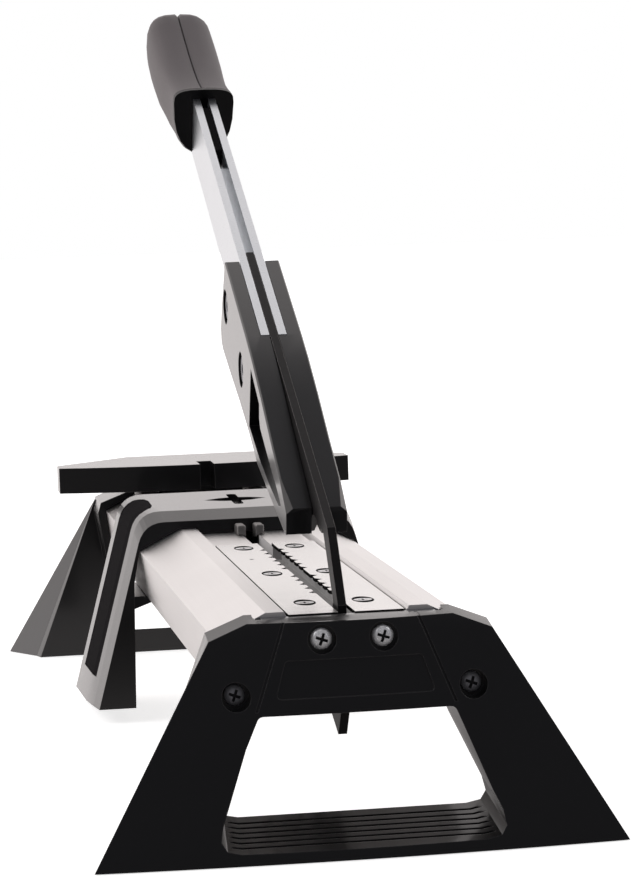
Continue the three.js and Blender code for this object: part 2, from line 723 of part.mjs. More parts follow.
// The blade: a plate with its boss on the pivot, a ground bevel along its cutting edge and a tail
function blade() {
  const half = bladeThickness / 2;
  const outline = [
    [bladeRearU, bladeBackT], [bladeKneeU, bladeBackT], [bladeKneeU - bladeKneeU / 4, bladeBackT - bladeKneeU / 8],
    [bladeNeckU, bladeNeckT], [bladeTailBackU / 2 - pivotRadius, pivotRadius], [bladeTailBackU, bladeTailBackT],
    [bladeTipU, bladeTipT], [bladeTailRearU, bladeTailRearT], [bladeBossRadius, -bladeBossRadius / 2],
    [bladeBossRadius, bladeBossRadius / 3], [bladeNeckLowU, bladeNeckLowT], [bladeThroatU, bladeThroatT],
    [bladeShoulderU, bladeShoulderT], [bladeEdgeStartU, bladeEdgeStartT], [bladeEdgeEndU, bladeEdgeEndT],
    [bladeRearU, bladeRearLowT],
  ];
  let body = leverPrism(outline, -half, half);
  const start = new THREE.Vector2(bladeEdgeStartU, bladeEdgeStartT);
  const along = new THREE.Vector2(bladeEdgeEndU, bladeEdgeEndT).sub(start).normalize();
  const up = new THREE.Vector2(-along.y, along.x);
  const at = (u, t) => [start.x + along.x * u + up.x * t, start.y + along.y * u + up.y * t];
  const length = bladeEdgeEndU - bladeEdgeStartU;
  [-1, 1].forEach((side) => {
    const section = (u) => [[half + cutOver, -cutOver], [half + cutOver, bladeBevel], [half, bladeBevel],
      [bladeEdgeThickness / 2, 0], [bladeEdgeThickness / 2, -cutOver]].map(([x, t]) => {
      const [y, z] = at(u, t);
      return new THREE.Vector3(x * side, y, z);
    });
    body = body.subtract(loft([section(-cutOver), section(length + bladeBossRadius)], flatXZ));
  });
  body = body.subtract(rod(pivotRadius + runningGap, 'x', -housingHalfWidth, housingHalfWidth, 0, 0));
  leverBolts.forEach(([u, t]) => {
    body = body.subtract(rod(boltRadius + seatGap, 'x', -housingHalfWidth, housingHalfWidth, u, t));
  });
  return body;
}

// One flat bar of the lever; side is -1 for the left one
function leverBar(side) {
  const inner = bladeThickness / 2 + seatGap;
  const outer = inner + barThickness;
  const tangU = gripFrontU - seatGap;
  const endU = barRearU - barChamfer;
  const outline = [[barFrontU, barLowT], [tangU, barLowT], [tangU, tangLowT], [endU, tangLowT],
    [barRearU, tangLowT + barChamfer], [barRearU, tangTopT - barChamfer], [endU, tangTopT], [tangU, tangTopT],
    [tangU, barTopT], [barFrontU, barTopT]];
  let body = leverPrism(outline, side < 0 ? -outer : inner, side < 0 ? -inner : outer);
  leverBolts.forEach(([u, t]) => {
    body = body.subtract(rod(boltRadius + seatGap, 'x', -housingHalfWidth, housingHalfWidth, u, t));
  });
  return body;
}

// The dark filler strip between the bars, ahead of and inside the grip
function gripSpacer() {
  const half = bladeThickness / 2;
  return leverPrism(rectangle(spacerFrontU, spacerLowT, spacerRearU, spacerTopT), -half, half);
}

// One moulded half of the blade housing, chamfered, with its side window and the bar's groove
function housingHalf(side) {
  const inner = bladeThickness / 2 + seatGap;
  const place = ([along, up]) => [housingReachU * along, housingReachT * up];
  const rings = housingShares.map(({ along, edge, crown }) => {
    const [u, edgeT] = place([along, edge]);
    const crownT = housingReachT * crown;
    const ring = [[inner, -housingReachT], [housingHalfWidth, -housingReachT], [housingHalfWidth, edgeT],
      [housingHalfWidth - housingChamfer, crownT], [inner, crownT]];
    return ring.map(([x, t]) => new THREE.Vector3(x * side, u, t));
  });
  const reach = housingHalfWidth + cutOver;
  let body = loft(rings, flatXZ).intersect(leverPrism(housingSideShares.map(place), -reach, reach));
  const face = side * housingHalfWidth;
  const floor = side * (housingHalfWidth - housingWindowDepth);
  const over = side * reach;
  const sideWindow = housingWindowShares.map(place);
  body = body.subtract(leverPrism(sideWindow, Math.min(floor, over), Math.max(floor, over)));
  const barGroove = rectangle(barFrontU - seatGap, barLowT - seatGap, barRearU, barTopT + cutOver);
  const barOuter = side * (inner + barThickness + seatGap);
  body = body.subtract(leverPrism(barGroove, Math.min(0, barOuter), Math.max(0, barOuter)));
  const recess = face - side * boltRecessDepth;
  leverBolts.forEach(([u, t]) => {
    body = body.subtract(rod(boltRadius + seatGap, 'x', -reach, reach, u, t));
    body = body.subtract(rod(boltRecessRadius, 'x', Math.min(recess, over), Math.max(recess, over), u, t));
  });
  return body;
}

// A clamping bolt across the housing: its head in the left recess
function leverBolt(u, t) {
  const headSeat = -housingHalfWidth + boltRecessDepth - seatGap;
  const body = rod(boltRadius, 'x', headSeat - boltHeadHeight / 2, housingHalfWidth - seatGap, u, t, screwSides);
  const head = rod(boltHeadRadius, 'x', headSeat - boltHeadHeight, headSeat, u, t, screwSides);
  const socketFrom = headSeat - boltHeadHeight - cutOver;
  const socket = rod(boltSocketRadius, 'x', socketFrom, headSeat - boltHeadHeight / 2, u, t, hexSides);
  return body.add(head).subtract(socket);
}

// The hexagon nut of a clamping bolt, in the right recess
function leverNut(u, t) {
  const seat = housingHalfWidth - boltRecessDepth + seatGap;
  const nut = rod(boltHeadRadius, 'x', seat, seat + nutHeight, u, t, hexSides);
  const bore = boltRadius + seatGap / 2;
  return nut.subtract(rod(bore, 'x', seat - cutOver, seat + nutHeight + cutOver, u, t, screwSides));
}

// One half of the grip: lofted along the lever, swelling towards its rear end, hollow for the bars
function gripHalf(side) {
  const rings = gripShares.slice(1).map((shares) => gripHalfRing(shares, gripSeam / 2, gripSeamNotch)
    .map(([x, t]) => new THREE.Vector3(x * side, gripU(shares), t)));
  return loft(rings, flatXZ).subtract(tangPocket());
}

// Where a station of the grip lies along the lever
const gripU = ({ along }) => gripFrontU + (gripRearU - gripFrontU) * along;

// Right half of a section of the grip: squarish above its widest place, egg-shaped below it
function gripHalfRing({ width, top, low, widest }, inner, notch) {
  const height = gripTopT - gripLowT;
  const topT = gripLowT + height * top;
  const lowT = gripLowT + height * low;
  const wideT = gripLowT + height * widest;
  const ring = [[inner, lowT], [inner, topT - notch], [inner + notch, topT]];
  for (let k = 1; k < gripRoundPoints * 2; k += 1) {
    const angle = Math.PI / 2 - Math.PI / 2 * k / gripRoundPoints;
    const reach = angle > 0 ? topT - wideT : wideT - lowT;
    const power = angle > 0 ? gripTopSquareShare : gripLowSquareShare;
    const across = gripHalfWidth * width * Math.cos(angle) ** power;
    const above = reach * Math.sign(angle) * Math.abs(Math.sin(angle)) ** power;
    ring.push([Math.max(inner + notch, across), wideT + above]);
  }
  return ring;
}

// The room for both bars' tangs inside the grip and its cap
function tangPocket() {
  const outer = bladeThickness / 2 + seatGap * 2 + barThickness;
  const pocket = rectangle(gripFrontU - cutOver, tangLowT - seatGap, barRearU + seatGap, tangTopT + seatGap);
  return leverPrism(pocket, -outer, outer);
}

// The dark cap that closes the front end of the grip around the bars
function gripEndCap() {
  const [front, rear] = gripShares;
  const endU = gripU(rear) - seatGap;
  const rings = [[front, gripFrontU], [rear, endU]].map(([shares, u]) =>
    mirrorLoop(gripHalfRing(shares, 0, 0).slice(1)).map(([x, t]) => new THREE.Vector3(x, u, t)));
  return loft(rings, flatXZ).subtract(tangPocket());
}

// The pivot bolt across the trough's walls
function pivotBolt() {
  const wallX = slotHalfWidth + troughWall + seatGap;
  const end = wallX + pivotNutHeight + pivotTail;
  return rod(pivotRadius, 'x', -wallX - pivotHeadHeight / 2, end, pivotY, pivotZ)
    .add(rod(pivotHeadRadius, 'x', -wallX - pivotHeadHeight, -wallX, pivotY, pivotZ, hexSides));
}

// The lock nut of the pivot bolt
function pivotNut() {
  const wallX = slotHalfWidth + troughWall + seatGap;
  return rod(pivotNutRadius, 'x', wallX, wallX + pivotNutHeight, pivotY, pivotZ, hexSides)
    .subtract(rod(pivotRadius + seatGap / 2, 'x', 0, wallX + pivotNutHeight + cutOver, pivotY, pivotZ));
}

// A thrust washer between the blade's boss and the trough's wall
function pivotWasher(side) {
  const inner = bladeThickness / 2 + seatGap;
  const outer = slotHalfWidth - seatGap;
  const from = side < 0 ? -outer : inner;
  const to = side < 0 ? -inner : outer;
  return rod(washerRadius, 'x', from, to, pivotY, pivotZ)
    .subtract(rod(pivotRadius + seatGap, 'x', from - cutOver, to + cutOver, pivotY, pivotZ));
}

// The forked guide that takes the blade's end, rooted in the trough
function bladeGuide() {
  const rootX = slotHalfWidth - seatGap;
  const rootZ = bedFloorZ - guideRootDepth;
  const seat = bedFloorZ + seatGap;
  const outline = mirrorLoop([
    [guideSlotHalfWidth, rootZ + guideFloor], [guideSlotHalfWidth, guideTopZ], [guideHalfWidth, guideTopZ],
    [guideHalfWidth, seat], [rootX, seat], [rootX, rootZ],
  ]);
  return prism(outline, frontView, guideY, guideY + guideLength);
}

// Outer outline of the bridge under a given top, drawn in at the sides by an inset
function bridgeOutline(inset, top) {
  const slope = (bridgeBaseHalfWidth - bridgeShoulderHalfWidth) / (bridgeShoulderZ - bridgeBaseZ);
  const baseX = bridgeBaseHalfWidth - inset;
  const topX = baseX - slope * (top - bridgeBaseZ);
  return rounded([
    [baseX, bridgeBaseZ], [topX, top, bridgeCorner], [-topX, top, bridgeCorner], [-baseX, bridgeBaseZ],
  ], roundSteps * 2);
}

// The bridge's outer form, lower and narrower towards its front, drawn in all round by a skin
function bridgeForm(skin) {
  const rings = bridgeShares.map(({ along, inset, drop }) => {
    const outline = bridgeOutline(bridgeFrontInset * inset + skin, bridgeTop - bridgeFrontDrop * drop - skin);
    return outline.map(([x, z]) => new THREE.Vector3(x, bridgeFront + bridgeLength * along, z));
  });
  return loft(rings, flatXZ);
}

// The opening between the bridge's legs, which rides on the profile, with claws under its edges
function bridgeOpening(body) {
  const gap = bridgeGap;
  const low = bridgeBaseZ - cutOver;
  const outline = mirrorLoop([
    [bedRecessHalfWidth - gap, bedFloorZ + gap], [ridgeInnerX - gap, ridgeZ + gap], [ridgeOuterX + gap, ridgeZ + gap],
    [profileEdgeX + gap, profileEdgeZ + gap], [bridgeInnerMidX, bridgeInnerMidZ], [bridgeInnerLowX, low],
  ]);
  const rear = bridgeFront + bridgeLength;
  let open = body.subtract(prism(outline, frontView, bridgeFront - cutOver, rear + cutOver));
  const clawTop = profileLowZ - clawGap;
  const tipX = profileLowX - clawReach;
  [-1, 1].forEach((side) => {
    const claw = [[tipX, clawTop - clawHeight / 2], [tipX, clawTop], [bridgeInnerMidX + clawWall, clawTop],
      [bridgeInnerLowX + clawWall, clawTop - clawHeight * 2]].map(([x, z]) => [x * side, z]);
    open = open.add(prism(claw, frontView, bridgeFront + clawFront, bridgeFront + clawFront + clawLength));
  });
  return open;
}

// The region of the bridge's skin that an inlay strip takes, rounded on the top, grown by a gap
function inlayRegion(side, gap) {
  const from = bridgeFront + inlayFront - gap;
  const to = bridgeFront + inlayFront + inlayLength + gap;
  const inner = side * (inlayTopX - gap);
  const reach = side * (bridgeBaseHalfWidth + cutOver);
  const plan = rounded([[inner, from, inlayRound], [reach, from], [reach, to], [inner, to, inlayRound]]);
  return prism(plan, planView, inlayLowZ - gap, bridgeTop + cutOver);
}

// The bridge itself
function bridge() {
  let body = bridgeOpening(bridgeForm(0));
  [-1, 1].forEach((side) => {
    body = body.subtract(inlayRegion(side, seatGap).subtract(bridgeForm(inlayThickness + seatGap)));
  });
  const middleY = bridgeFront + starMiddle;
  const width = starSlotWidth / 2;
  const front = middleY - starSlotLength / 2;
  const rear = middleY + starSlotLength / 2;
  const corner = width - seatGap;
  const slot = rounded([[-width, front, corner], [width, front, corner], [width, rear, corner],
    [-width, rear, corner]]);
  const crossHalf = starCrossLength / 2;
  const bulge = starCrossWidth / 2;
  const cross = [[-crossHalf, middleY], [-crossHalf / 2, middleY - bulge * lensShare], [0, middleY - bulge],
    [crossHalf / 2, middleY - bulge * lensShare], [crossHalf, middleY], [crossHalf / 2, middleY + bulge * lensShare],
    [0, middleY + bulge], [-crossHalf / 2, middleY + bulge * lensShare]];
  [slot, cross].forEach((outline) => {
    body = body.subtract(prism(outline, planView, bridgeTop - starDepth, bridgeTop + cutOver));
  });
  return body;
}

// A soft inlay strip along one leg of the bridge and over its shoulder, a little below the surface
function inlayStrip(side) {
  return bridgeForm(inlaySink).subtract(bridgeForm(inlayThickness)).intersect(inlayRegion(side, 0));
}

// The cross fence: a bowed front, a straight back that draws in towards the ends, and its foot
function crossFence() {
  const front = [];
  for (let k = 0; k <= fenceArcSteps; k += 1) {
    const share = -1 + 2 * k / fenceArcSteps;
    front.push([fenceHalfWidth * share, fenceFrontMidY + (fenceFrontEndY - fenceFrontMidY) * share ** 2]);
  }
  const outline = [...front, [fenceHalfWidth, fenceRearEndY], [fenceRearHalfWidth, fenceRearY],
    [-fenceRearHalfWidth, fenceRearY], [-fenceHalfWidth, fenceRearEndY]];
  let body = prism(outline, planView, fenceLowZ, fenceTopZ);
  const half = fenceNotchHalfWidth;
  const notch = rectangle(-half, fenceFrontMidY - cutOver, half, fenceFrontMidY + fenceNotchDepth);
  body = body.subtract(prism(notch, planView, fenceLowZ - cutOver, fenceTopZ + cutOver));
  const footHalf = bedRecessHalfWidth - seatGap;
  const foot = rectangle(-footHalf, fenceFootFront, footHalf, fenceRearY);
  body = body.add(prism(foot, planView, bedFloorZ + seatGap, fenceLowZ + seatGap));
  const shelf = rectangle(-fenceFootHalfWidth, fenceFootFront, fenceFootHalfWidth, fenceRearY);
  body = body.add(prism(shelf, planView, ridgeZ + seatGap, fenceLowZ + seatGap));
  const hole = fenceScrewRadius + seatGap / 2;
  const holeTop = bedFloorZ + fenceScrewReach + seatGap * 3;
  [-fenceScrewX, fenceScrewX].forEach((x) => {
    body = body.subtract(rod(hole, 'z', bedFloorZ - cutOver, holeTop, x, fenceScrewY, screwSides));
  });
  return body;
}

// A fence screw, driven from under the bed floor
const fenceScrewSolid = () => panScrew(fenceScrewRadius, fenceScrewReach + bedFloorThickness);

const group = new THREE.Group();

// Adds one named piece to a parent group
function addPiece(name, solid, look, parent = group) {
  const mesh = new THREE.Mesh(geometryOf(solid), look);
  mesh.name = name;
  parent.add(mesh);
  return mesh;
}

// Base: feet, profile, plates, fence and their screws
addPiece('base_profile', baseProfile(), aluminium);
addPiece('front_foot', footSolid(false), blackPlastic);
const rearFoot = addPiece('rear_foot', footSolid(true), blackPlastic);
rearFoot.position.y = baseLength;
rearFoot.rotation.z = Math.PI;
addPiece('left_bed_plate', bedPlate(-1), brightSteel);
addPiece('right_bed_plate', bedPlate(1), brightSteel);
plateScrewYs.forEach((y, i) => {
  [['left', -plateScrewX], ['right', plateScrewX]].forEach(([side, x]) => {
    const piece = addPiece(`${side}_plate_screw_${i + 1}`, plateScrewSolid(), zinc);
    piece.position.set(x, y, bedFloorZ + plateSeatGap + plateThickness);
  });
});
footScrews.forEach(({ name, x, z, seat }) => {
  [['left', -x], ['right', x]].forEach(([side, place]) => {
    const look = name === 'pan' ? zinc : darkScrew;
    const front = addPiece(`front_${name}_screw_${side}`, footScrewSolid(seat), look);
    front.position.set(place, seat - seatGap, z);
    front.rotation.x = Math.PI / 2;
    const rear = addPiece(`rear_${name}_screw_${side}`, footScrewSolid(seat), look);
    rear.position.set(place, baseLength - seat + seatGap, z);
    rear.rotation.x = -Math.PI / 2;
  });
});
addPiece('blade_guide', bladeGuide(), zinc);
addPiece('cross_fence', crossFence(), blackPlastic);
[['left', -fenceScrewX], ['right', fenceScrewX]].forEach(([side, x]) => {
  const piece = addPiece(`fence_screw_${side}`, fenceScrewSolid(), zinc);
  piece.position.set(x, fenceScrewY, bedFloorZ - bedFloorThickness - seatGap);
  piece.rotation.x = Math.PI;
});
addPiece('pivot_bolt', pivotBolt(), zinc);
addPiece('pivot_nut', pivotNut(), zinc);
addPiece('pivot_washer_left', pivotWasher(-1), brightSteel);
addPiece('pivot_washer_right', pivotWasher(1), brightSteel);

// Sliding bridge
addPiece('bridge', bridge(), blackPlastic);
addPiece('bridge_inlay_left', inlayStrip(-1), softBlack);
addPiece('bridge_inlay_right', inlayStrip(1), softBlack);

// Lever: its pieces are drawn along it and turned together about the pivot
const lever = new THREE.Group();
lever.position.set(0, pivotY, pivotZ);
lever.rotation.x = THREE.MathUtils.degToRad(leverAngle);
group.add(lever);
addPiece('blade', blade(), bladeSteel, lever);
addPiece('lever_bar_left', leverBar(-1), brightSteel, lever);
addPiece('lever_bar_right', leverBar(1), brightSteel, lever);
addPiece('grip_spacer', gripSpacer(), softBlack, lever);
addPiece('housing_left', housingHalf(-1), blackPlastic, lever);
addPiece('housing_right', housingHalf(1), blackPlastic, lever);
leverBolts.forEach(([u, t], i) => {
  addPiece(`lever_bolt_${i + 1}`, leverBolt(u, t), zinc, lever);
  addPiece(`lever_nut_${i + 1}`, leverNut(u, t), zinc, lever);
});
addPiece('grip_end_cap', gripEndCap(), blackPlastic, lever);
addPiece('grip_left', gripHalf(-1), gripGrey, lever);
addPiece('grip_right', gripHalf(1), gripGrey, lever);

export default group;
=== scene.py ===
"""A bench cutter for laminate planks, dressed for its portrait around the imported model."""
import json
import math

import bpy
from mathutils import Matrix, Vector

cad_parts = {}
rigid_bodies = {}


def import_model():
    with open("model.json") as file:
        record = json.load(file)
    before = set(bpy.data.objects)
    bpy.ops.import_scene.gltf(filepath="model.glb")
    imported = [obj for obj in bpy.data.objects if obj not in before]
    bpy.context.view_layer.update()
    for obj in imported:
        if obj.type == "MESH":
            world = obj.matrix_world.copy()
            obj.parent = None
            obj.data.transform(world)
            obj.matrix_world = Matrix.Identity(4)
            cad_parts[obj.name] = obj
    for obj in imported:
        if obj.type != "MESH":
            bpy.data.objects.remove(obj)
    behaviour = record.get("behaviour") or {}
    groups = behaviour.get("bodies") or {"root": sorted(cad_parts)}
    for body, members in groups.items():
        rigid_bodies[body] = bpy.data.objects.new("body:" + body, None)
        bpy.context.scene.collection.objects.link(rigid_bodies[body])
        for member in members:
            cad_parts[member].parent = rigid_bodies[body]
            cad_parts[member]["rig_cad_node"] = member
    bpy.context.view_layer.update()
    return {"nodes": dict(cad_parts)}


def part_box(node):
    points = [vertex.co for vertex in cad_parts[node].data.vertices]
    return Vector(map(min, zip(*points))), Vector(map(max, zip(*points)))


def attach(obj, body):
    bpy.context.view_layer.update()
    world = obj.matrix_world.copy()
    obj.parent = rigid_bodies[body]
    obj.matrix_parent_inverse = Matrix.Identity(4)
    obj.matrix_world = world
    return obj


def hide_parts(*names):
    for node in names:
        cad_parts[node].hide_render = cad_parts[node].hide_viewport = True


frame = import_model()
nodes = frame["nodes"]
bpy.context.scene.view_settings.view_transform = "Standard"

# ---- Camera: a long lens low in front of the front foot, a little to its left.
# The image is taken as 877 pixels high, and the focal length is given in those pixels.
image_height = 877
focal_pixels = 3200
sensor_side = 36
nearest_seen, farthest_seen = 0.05, 40
camera_spot = Vector((-0.20966, -1.3176, 0.29148))
camera_yaw, camera_pitch, camera_roll = (math.radians(a) for a in (8.386, 4.847, 1.942))

ahead = Vector((math.sin(camera_yaw) * math.cos(camera_pitch),
                math.cos(camera_yaw) * math.cos(camera_pitch),
                -math.sin(camera_pitch)))
level_right = Vector((math.cos(camera_yaw), -math.sin(camera_yaw), 0))
level_down = ahead.cross(level_right)
right = math.cos(camera_roll) * level_right + math.sin(camera_roll) * level_down
down = -math.sin(camera_roll) * level_right + math.cos(camera_roll) * level_down
bpy.ops.object.camera_add(location=camera_spot)
camera = bpy.context.object
camera.name = "portrait_camera"
camera.data.sensor_width = sensor_side
camera.data.lens = focal_pixels * sensor_side / image_height
camera.data.clip_start = nearest_seen
camera.data.clip_end = farthest_seen
camera.rotation_euler = Matrix((right, -down, -ahead)).transposed().to_euler()
bpy.context.scene.camera = camera

# ---- Studio: a white sweep that the camera sees as pure white. Its light comes from behind
# and above, so tops and grazing sides of the black mouldings shine and their fronts stay dark.
back_tint = (1.0, 0.95, 0.94, 1)
front_tint = (0.20, 0.20, 0.215, 1)
# The reflected wall, by a direction's height (1 is straight up) and its turn to the rear.
wall_full_height, wall_end_height = 0.75, 0.91
wall_start_rear, wall_full_rear = -0.10, 0.32
canopy_start_height, canopy_full_height, canopy_light = 0.945, 0.985, 0.7

studio = bpy.data.worlds.new("studio")
bpy.context.scene.world = studio
studio.use_nodes = True
links, sky = studio.node_tree.links, studio.node_tree.nodes
sky.clear()
direction = sky.new("ShaderNodeTexCoord")
apart = sky.new("ShaderNodeSeparateXYZ")
links.new(direction.outputs["Generated"], apart.inputs[0])


def ramp(tree, source, start, end):
    """Runs smoothly from 0 at start to 1 at end."""
    step = tree.nodes.new("ShaderNodeMapRange")
    step.interpolation_type = "SMOOTHSTEP"
    step.inputs["From Min"].default_value = start
    step.inputs["From Max"].default_value = end
    tree.links.new(source, step.inputs["Value"])
    return step.outputs["Result"]


wall = sky.new("ShaderNodeMath")
wall.operation = "MULTIPLY"
links.new(ramp(studio.node_tree, apart.outputs["Z"], wall_end_height, wall_full_height),
          wall.inputs[0])
links.new(ramp(studio.node_tree, apart.outputs["Y"], wall_start_rear, wall_full_rear),
          wall.inputs[1])
canopy = sky.new("ShaderNodeMapRange")
canopy.inputs["From Min"].default_value = canopy_start_height
canopy.inputs["From Max"].default_value = canopy_full_height
canopy.inputs["To Max"].default_value = canopy_light
links.new(apart.outputs["Z"], canopy.inputs["Value"])
lit_side = sky.new("ShaderNodeMath")
lit_side.operation = "MAXIMUM"
links.new(wall.outputs[0], lit_side.inputs[0])
links.new(canopy.outputs["Result"], lit_side.inputs[1])
tint = sky.new("ShaderNodeMix")
tint.data_type = "RGBA"
tint.inputs["A"].default_value = front_tint
tint.inputs["B"].default_value = back_tint
links.new(lit_side.outputs[0], tint.inputs["Factor"])
lit = sky.new("ShaderNodeBackground")
links.new(tint.outputs["Result"], lit.inputs["Color"])
white = sky.new("ShaderNodeBackground")
white.inputs["Color"].default_value = (1, 1, 1, 1)
seen_as = sky.new("ShaderNodeLightPath")
straight = sky.new("ShaderNodeMath")
straight.operation = "MAXIMUM"
links.new(seen_as.outputs["Is Camera Ray"], straight.inputs[0])
links.new(seen_as.outputs["Is Transmission Ray"], straight.inputs[1])
choose = sky.new("ShaderNodeMixShader")
links.new(straight.outputs[0], choose.inputs[0])
links.new(lit.outputs[0], choose.inputs[1])
links.new(white.outputs[0], choose.inputs[2])
links.new(choose.outputs[0], sky.new("ShaderNodeOutputWorld").inputs[0])

softbox_side = 1.0
bed_middle = Vector((0, 0.3, 0.1))


def softbox(name, spot, power, colour=(1, 1, 1)):
    """One square softbox, aimed at the middle of the bed."""
    bpy.ops.object.light_add(type="AREA", location=spot)
    lamp = bpy.context.object
    lamp.name = name
    lamp.data.size = softbox_side
    lamp.data.energy = power
    lamp.data.color = colour
    lamp.rotation_euler = (bed_middle - Vector(spot)).to_track_quat("-Z", "Y").to_euler()


softbox("left_high_softbox", (-1.45, 0.0, 1.35), power=9.5)
softbox("right_high_softbox", (1.55, 0.2, 1.35), power=8)
softbox("left_softbox", (-1.7, 1.1, 0.62), power=4.5, colour=(1, 0.95, 0.945))

# ---- Floor: a sheet of white paper under the feet. It keeps the cutter's shadow, glows white
# towards the horizon, and the metals and glossy mouldings see it as part of the white sweep.
floor_side, floor_middle_y, floor_drop = 14, 3, 0.0004
floor_tone = (0.80, 0.79, 0.78, 1)
glow_start_y, glow_full_y = 0.8, 2.0
glow_near, glow_far = 0.72, 1.0
mirror_start_y, mirror_full_y = 0.05, 0.55

bpy.ops.object.select_all(action="DESELECT")
bpy.ops.mesh.primitive_plane_add(size=floor_side, location=(0, floor_middle_y, -floor_drop))
floor = bpy.context.object
floor.name = "floor"
paper = bpy.data.materials.new("white_paper")
paper.use_nodes = True
links, made = paper.node_tree.links, paper.node_tree.nodes
made.clear()
path = made.new("ShaderNodeLightPath")
sheet = made.new("ShaderNodeBsdfDiffuse")
sheet.inputs["Color"].default_value = floor_tone
glow = made.new("ShaderNodeEmission")
both = made.new("ShaderNodeAddShader")
links.new(sheet.outputs[0], both.inputs[0])
links.new(glow.outputs[0], both.inputs[1])
pick = made.new("ShaderNodeMixShader")
links.new(path.outputs["Is Camera Ray"], pick.inputs[0])
links.new(sheet.outputs[0], pick.inputs[1])
links.new(both.outputs[0], pick.inputs[2])
spot_on_floor = made.new("ShaderNodeNewGeometry")
floor_axes = made.new("ShaderNodeSeparateXYZ")
links.new(spot_on_floor.outputs["Position"], floor_axes.inputs[0])
far_glow = made.new("ShaderNodeMapRange")
far_glow.inputs["From Min"].default_value = glow_start_y
far_glow.inputs["From Max"].default_value = glow_full_y
far_glow.inputs["To Min"].default_value = glow_near
far_glow.inputs["To Max"].default_value = glow_far
links.new(floor_axes.outputs["Y"], far_glow.inputs["Value"])
links.new(far_glow.outputs["Result"], glow.inputs["Strength"])
mirrored = made.new("ShaderNodeEmission")
mirrored.inputs["Color"].default_value = back_tint
from_dark = made.new("ShaderNodeMapRange")
from_dark.inputs["To Min"].default_value = front_tint[0]
links.new(ramp(paper.node_tree, floor_axes.outputs["Y"], mirror_start_y, mirror_full_y),
          from_dark.inputs["Value"])
links.new(from_dark.outputs["Result"], mirrored.inputs["Strength"])
in_metal = made.new("ShaderNodeMath")
in_metal.operation = "MAXIMUM"
links.new(path.outputs["Is Glossy Ray"], in_metal.inputs[0])
links.new(path.outputs["Is Transmission Ray"], in_metal.inputs[1])
last = made.new("ShaderNodeMixShader")
links.new(in_metal.outputs[0], last.inputs[0])
links.new(pick.outputs[0], last.inputs[1])
links.new(mirrored.outputs[0], last.inputs[2])
links.new(last.outputs[0], made.new("ShaderNodeOutputMaterial").inputs[0])
floor.data.materials.append(paper)

# ---- Bed profile: one length of extruded aluminium, mill finished, with fine drawing lines
# along it. It is sawn square at both ends, where the feet are screwed on. The groove under the
# plates, where the blade comes down, is painted matte: pale on its walls, with painted shade
# along its middle.
middle_half, middle_fade = 0.0022, 0.0030
groove_half, groove_fade = 0.0088, 0.0092
groove_top, groove_top_fade = 0.0986, 0.0989
middle_painted_shade, wall_pale = (0.05, 0.048, 0.047), (0.60, 0.585, 0.58)


